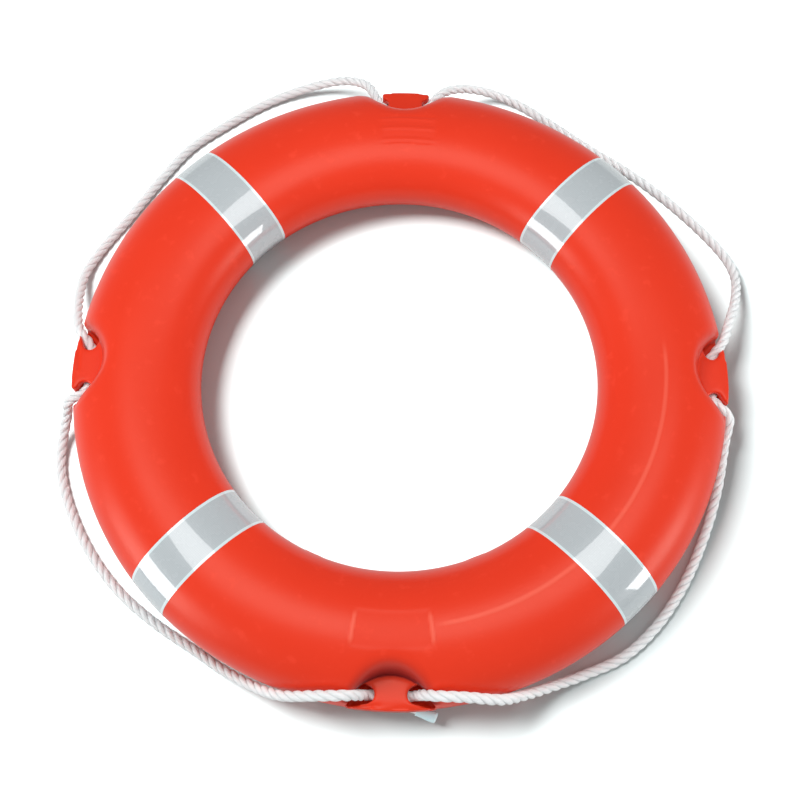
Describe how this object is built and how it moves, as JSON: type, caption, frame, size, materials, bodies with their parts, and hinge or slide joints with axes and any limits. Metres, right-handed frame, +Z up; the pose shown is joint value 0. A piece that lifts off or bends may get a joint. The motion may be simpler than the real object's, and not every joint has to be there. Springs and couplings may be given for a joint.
{
  "type": "life ring",
  "caption": "Round foam-filled life ring with a moulded plastic shell, reflective bands and a grab line that passes through lugs round its outer edge and hangs in loops between them.",
  "frame": {"origin": "on the ring's axis, in the plane that the ring rests on", "axes": "+Z up along the ring's axis; +X, +Y, -X and -Y each point at a lug; the line's spare end is below the lug on -Y"},
  "size_m": [0.7949, 0.7916, 0.105],
  "materials": {
    "orange_plastic": "satin moulded plastic, orange-red",
    "rigid_foam": "rigid closed-cell foam, cream, inside the shell",
    "reflective_sheeting": "silver-grey retroreflective sheeting with paler edges",
    "white_rope": "white three-strand laid rope",
    "pale_cap": "pale blue-white shrunk plastic cap"
  },
  "bodies": {
    "ring": {"ring_shell": "orange_plastic", "foam_core": "rigid_foam", "filler_plug": "orange_plastic", "vent_plug": "orange_plastic", "reflective_band_1": "reflective_sheeting", "reflective_band_2": "reflective_sheeting", "reflective_band_3": "reflective_sheeting", "reflective_band_4": "reflective_sheeting", "line_in_lug_1": "white_rope", "line_in_lug_2": "white_rope", "line_in_lug_3": "white_rope", "line_in_lug_4": "white_rope", "line_tail": "white_rope", "line_tail_cap": "pale_cap"},
    "rear_right_loop": {"grab_line_rear_right": "white_rope"},
    "rear_left_loop": {"grab_line_rear_left": "white_rope"},
    "front_left_loop": {"grab_line_front_left": "white_rope"},
    "front_right_loop": {"grab_line_front_right": "white_rope"}
  },
  "joints": [
    {"name": "rear_right_loop_lift", "type": "hinge", "parent": "ring", "child": "rear_right_loop", "pos_m": [0.1864, 0.1864, 0.0522], "axis": [0.7071, -0.7071, 0], "range_deg": [0, 30]},
    {"name": "rear_left_loop_lift", "type": "hinge", "parent": "ring", "child": "rear_left_loop", "pos_m": [-0.1864, 0.1864, 0.0522], "axis": [0.7071, 0.7071, 0], "range_deg": [0, 30]},
    {"name": "front_left_loop_lift", "type": "hinge", "parent": "ring", "child": "front_left_loop", "pos_m": [-0.1864, -0.1864, 0.0522], "axis": [-0.7071, 0.7071, 0], "range_deg": [0, 20]},
    {"name": "front_right_loop_lift", "type": "hinge", "parent": "ring", "child": "front_right_loop", "pos_m": [0.1864, -0.1864, 0.0522], "axis": [-0.7071, -0.7071, 0], "range_deg": [0, 20]}
  ]
}
